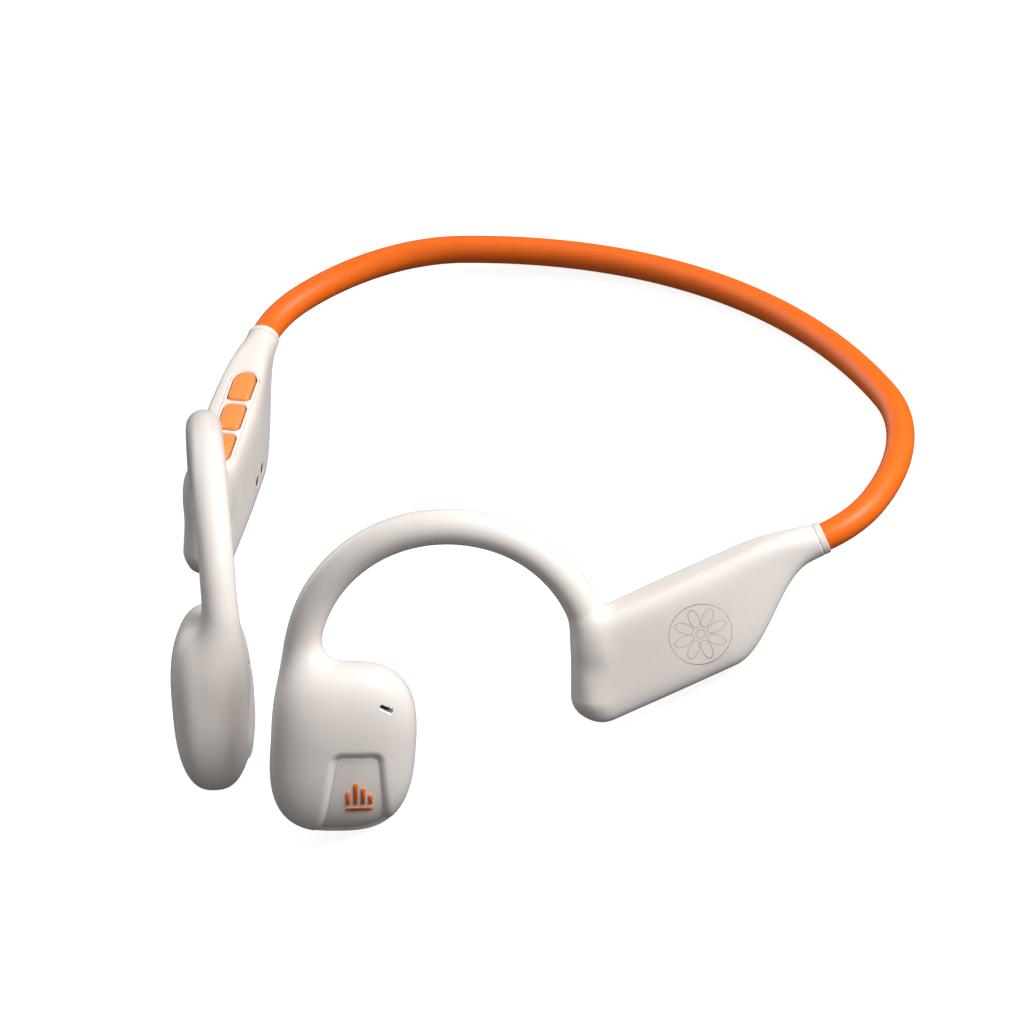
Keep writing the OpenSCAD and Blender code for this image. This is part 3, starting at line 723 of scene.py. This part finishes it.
def band_path():
    """Centre line of the band, from the right collar to the left, in the worn frame."""
    nape_y = (NAPE_R - (NAPE_R - SIDE_R) * cos(NAPE_TURN)
              - (SIDE_R - LEAD_IN_R) * cos(NAPE_TURN + SIDE_TURN) - LEAD_IN_R * cos(COLLAR_HEADING))
    centre = np.array([0, nape_y - NAPE_R])
    half = []
    heading = 0
    for radius, angle, steps in ((NAPE_R, NAPE_TURN, 60), (SIDE_R, SIDE_TURN, 60),
                                 (LEAD_IN_R, COLLAR_HEADING - NAPE_TURN - SIDE_TURN, 40)):
        for i in range(steps):
            a = heading + angle * i / steps
            half.append(centre + radius * np.array([sin(a), cos(a)]))
        heading += angle
        end = centre + radius * np.array([sin(heading), cos(heading)])
        following = {NAPE_R: SIDE_R, SIDE_R: LEAD_IN_R}.get(radius, radius)
        centre = end - following * np.array([sin(heading), cos(heading)])
    ahead = np.array([cos(COLLAR_HEADING), -sin(COLLAR_HEADING)])
    half += [end + ahead * s for s in np.linspace(0, 3.4, 8)]
    half = np.array(half)
    left = np.column_stack([half, np.zeros(len(half))])
    right = left[:0:-1] * [-1, 1, 1]
    return to_worn(BAND, np.vstack([right, left]))


def build_band():
    """The band's sleeve, and the collar ring at each of its ends."""
    points, faces = tube(band_path(), BAND_R, 48)
    band = new_piece("neckband_skin", points, faces, 1, ORANGE,
                     replaces=["neckband_sleeve"])
    sharpen(band, 50)
    for side, word in ((1, "left"), (-1, "right")):
        profile = [(-1, BAND_R + COLLAR_LAP), (-1, COLLAR_R - 0.16), (-0.9, COLLAR_R - 0.05),
                   (-0.15, COLLAR_R), (-0.05, COLLAR_R - 0.01), (-0.02, COLLAR_R - 0.05),
                   (-0.02, BAND_R + COLLAR_LAP)]
        n, rows = 64, len(profile)
        ring = [(x, r * cos(360 * j / n), r * sin(360 * j / n)) for x, r in profile for j in range(n)]
        faces = [((i % rows) * n + j, (i % rows) * n + (j + 1) % n,
                  ((i + 1) % rows) * n + (j + 1) % n, ((i + 1) % rows) * n + j)
                 for i in range(rows) for j in range(n)]
        faces = [tuple(reversed(f)) for f in faces]
        collar = new_piece(f"collar_ring_{word}", to_worn(POD, ring), faces, side, CREAM,
                           replaces=[f"band_socket_{word}"])
        sharpen(collar, 40)


# ---- buttons ----

def build_buttons():
    """Crowned caps, each with a flange under the bezel."""
    crown = POD_TOP + BUTTON_CROWN
    base = BEZEL_Z - 0.05 - FLANGE
    crown_rings = ((0.985, -0.28), (0.94, -0.12), (0.86, -0.03), (0.6, 0.04), (0.3, 0.07))
    for i, word in ((-1, "rear"), (0, "middle"), (1, "front")):
        outline, wide = np.array(button_outline(i, 0)), np.array(button_outline(i, 0.3))
        middle = outline.mean(0)
        rings = [(wide, base), (wide, base + FLANGE), (outline, base + FLANGE), (outline, crown - 0.5)]
        rings += [(middle + (outline - middle) * scale, crown + lift) for scale, lift in crown_rings]
        n = len(outline)
        points = [(ROW_AT + x, ROW_Y + y, z) for ring, z in rings for x, y in ring]
        faces = [tuple(reversed(range(n)))]
        for r in range(len(rings) - 1):
            for j in range(n):
                k = (j + 1) % n
                faces.append((r * n + j, r * n + k, (r + 1) * n + k, (r + 1) * n + j))
        faces.append(tuple(range((len(rings) - 1) * n, len(rings) * n)))
        button = new_piece(f"button_cap_{word}", to_worn(POD, points), faces, -1, BUTTON,
                           body=f"{word}_button", replaces=[f"button_{word}"])
        sharpen(button, 40)


# ---- arms put together ----

def build_arm(side, word, meshes):
    """One arm's skins, with the housing's cavity, pad pocket and microphone slot cut in."""
    pod, hook, speaker = [m.copy() if side > 0 else mirrored(m, m.name) for m in meshes]
    hook = piece_from_mesh(f"hook_skin_{word}", hook, CREAM,
                           replaces=[f"hook_sleeve_{word}"])
    speaker = piece_from_mesh(f"speaker_skin_{word}", speaker, CREAM,
                              replaces=[f"speaker_shell_{word}", f"speaker_cover_{word}"])
    x, z = PAD_AT
    inner_y = SKIN_Y + SKIN_T
    cut(speaker, local_cutter(SPEAKER, *y_cylinder(x, z, inner_y, CAVITY_TOP, CAVITY_R), side))
    cut(speaker, local_cutter(SPEAKER, *y_cylinder(x, z, SKIN_Y - 1, inner_y + 0.1, PAD_HOLE_R), side))
    pocket = rounded_outline(PAD_W + 0.4, PAD_H + 0.4, 5.1, 14)
    cut(speaker, local_cutter(SPEAKER, *y_prism(pocket, x, z, -9, SKIN_Y), side))
    slot_outline = [(u, v - 0.05 * u * u) for u, v in rounded_outline(2.2, 0.72, 0.35, 6)]
    slot_outline = [(u * cos(MIC_TILT) - v * sin(MIC_TILT), u * sin(MIC_TILT) + v * cos(MIC_TILT))
                    for u, v in slot_outline]
    cut(speaker, local_cutter(SPEAKER, *y_prism(slot_outline, MIC_AT[0], MIC_AT[1], 3.7, 8), side))
    pod = piece_from_mesh(f"pod_skin_{word}", pod, CREAM,
                          replaces=[f"pod_shell_{word}", f"pod_cover_{word}"])
    if side < 0:
        for pin_x in (CHARGE_AT[0] - CHARGE_PITCH / 2, CHARGE_AT[0] + CHARGE_PITCH / 2):
            cut(pod, local_cutter(POD, *y_cylinder(pin_x, CHARGE_AT[1], -6, -3, CHARGE_HOLE_R, 32), side))
        build_button_panel(pod)
    build_speaker_details(side, word)


def build_button_panel(pod):
    """Cuts the pocket, and puts back its top as the bezel, with three button holes."""
    outline = np.array(stadium(BEZEL_LEN, BEZEL_W)) + (ROW_AT, ROW_Y)
    inner = np.array(stadium(BEZEL_LEN - 2 * BEZEL_SEAM, BEZEL_W - 2 * BEZEL_SEAM)) + (ROW_AT, ROW_Y)
    bezel = piece_from_mesh("bezel_skin", pod.data.copy(), CREAM, replaces=["button_bezel"])
    cut(bezel, local_cutter(POD, *prism(inner, BEZEL_Z, POD_CUTTER_TOP), -1), "INTERSECT")
    for i in (-1, 0, 1):
        hole = np.array(button_outline(i, BUTTON_GAP)) + (ROW_AT, ROW_Y)
        cut(bezel, local_cutter(POD, *prism(hole, 0, POD_CUTTER_TOP), -1))
    cut(pod, local_cutter(POD, *prism(outline, POCKET_FLOOR_Z, POD_CUTTER_TOP), -1))


def rosette():
    """A plain rosette of rings and spokes, printed on the outer face of the left pod."""
    points, faces = [], []

    def line(path):
        path = np.array(path)
        y = half_y(path[:, 0]) - 0.75 * LINE_R
        at = to_worn(POD, np.column_stack([path[:, 0], y, path[:, 1]]))
        tube_points, tube_faces = tube(at, LINE_R, 8)
        base = len(points)
        points.extend(tube_points.tolist())
        faces.extend(tuple(v + base for v in f) for f in tube_faces)

    cx, cz = ROSETTE_AT
    for k in range(8):
        a = 45 * k
        petal = []
        for t in np.linspace(0, 360, 25):
            u, v = 2.6 + 1.5 * cos(t), 0.75 * sin(t)
            petal.append((cx + u * cos(a) - v * sin(a), cz + u * sin(a) + v * cos(a)))
        line(petal)
    for radius in (0.7, 4.7):
        line([(cx + radius * cos(t), cz + radius * sin(t)) for t in np.linspace(0, 360, 49)])
    new_piece("rosette_print", points, faces, 1, PRINT)


# ---- surroundings, with distances in metres ----

WORLD_LOW, WORLD_HIGH = 0.07, 0.5
BRIGHT_AZIMUTH, BRIGHT_ELEVATION = 120, 50
LIGHT_DISTANCE = 1.2


def build_stage():
    """A pale floor, and a surrounding that is brighter on one side."""
    bpy.ops.mesh.primitive_plane_add(size=6, location=(0, 0, 0))
    floor = bpy.context.object
    floor.name = "floor"
    material = bpy.data.materials.new("floor_white")
    material.use_nodes = True
    surface = material.node_tree.nodes["Principled BSDF"]
    surface.inputs["Base Color"].default_value = (0.5, 0.5, 0.5, 1)
    surface.inputs["Emission Color"].default_value = (1, 1, 1, 1)
    surface.inputs["Emission Strength"].default_value = 0.85
    surface.inputs["Roughness"].default_value = 0.9
    surface.inputs["Specular IOR Level"].default_value = 0.0
    floor.data.materials.append(material)
    floor.visible_diffuse = False
    floor.visible_glossy = False

    world = bpy.data.worlds.new("studio")
    bpy.context.scene.world = world
    world.use_nodes = True
    nodes, links = world.node_tree.nodes, world.node_tree.links
    background = nodes["Background"]
    place = nodes.new("ShaderNodeTexCoord")
    toward = nodes.new("ShaderNodeVectorMath")
    toward.operation = "DOT_PRODUCT"
    toward.inputs[1].default_value = direction(BRIGHT_AZIMUTH, BRIGHT_ELEVATION)
    links.new(place.outputs["Generated"], toward.inputs[0])
    levels = nodes.new("ShaderNodeMapRange")
    levels.inputs["From Min"].default_value, levels.inputs["From Max"].default_value = -0.3, 1.0
    levels.inputs["To Min"].default_value, levels.inputs["To Max"].default_value = WORLD_LOW, WORLD_HIGH
    links.new(toward.outputs["Value"], levels.inputs["Value"])
    links.new(levels.outputs["Result"], background.inputs["Strength"])
    background.inputs["Color"].default_value = (1, 1, 1, 1)


def add_light(name, azimuth, elevation, size, power):
    light = bpy.data.lights.new(name, "AREA")
    light.energy, light.size = power, size
    obj = bpy.data.objects.new(name, light)
    bpy.context.scene.collection.objects.link(obj)
    away = direction(azimuth, elevation)
    obj.location = away * LIGHT_DISTANCE
    obj.rotation_euler = away.to_track_quat("Z", "Y").to_euler()


def direction(azimuth, elevation):
    """Azimuth turns from -Y towards +X."""
    return Vector((cos(elevation) * sin(azimuth), -cos(elevation) * cos(azimuth), sin(elevation)))


CAMERA_AZIMUTH, CAMERA_ELEVATION, CAMERA_ROLL = 63.9015, 39.7949, -32.6334
CAMERA_TARGET = Vector((7.6565, 2.2783, 10.949)) * MM
CAMERA_DISTANCE = 2.22771
CAMERA_LENS = 527.344


def build_camera():
    camera = bpy.data.objects.new("camera", bpy.data.cameras.new("camera"))
    bpy.context.scene.collection.objects.link(camera)
    bpy.context.scene.camera = camera
    back = direction(CAMERA_AZIMUTH, CAMERA_ELEVATION)
    level = Vector((0, 0, 1)).cross(back).normalized()
    upright = back.cross(level)
    up = upright * cos(CAMERA_ROLL) - level * sin(CAMERA_ROLL)
    right = up.cross(back)
    camera.matrix_world = Matrix.Translation(CAMERA_TARGET + back * CAMERA_DISTANCE) @ Matrix(
        (right, up, back)).transposed().to_4x4()
    camera.data.sensor_width = 36
    camera.data.lens = CAMERA_LENS
    camera.data.clip_end = 20


# ---- put together ----

dress_cad()
arm = arm_meshes()
for side, word in ((1, "left"), (-1, "right")):
    build_arm(side, word, arm)
build_band()
build_buttons()
rosette()
build_stage()
add_light("key", azimuth=128, elevation=36, size=0.5, power=16)
add_light("fill", azimuth=265, elevation=22, size=0.8, power=4.5)
build_camera()
bpy.context.scene.view_settings.view_transform = "Standard"
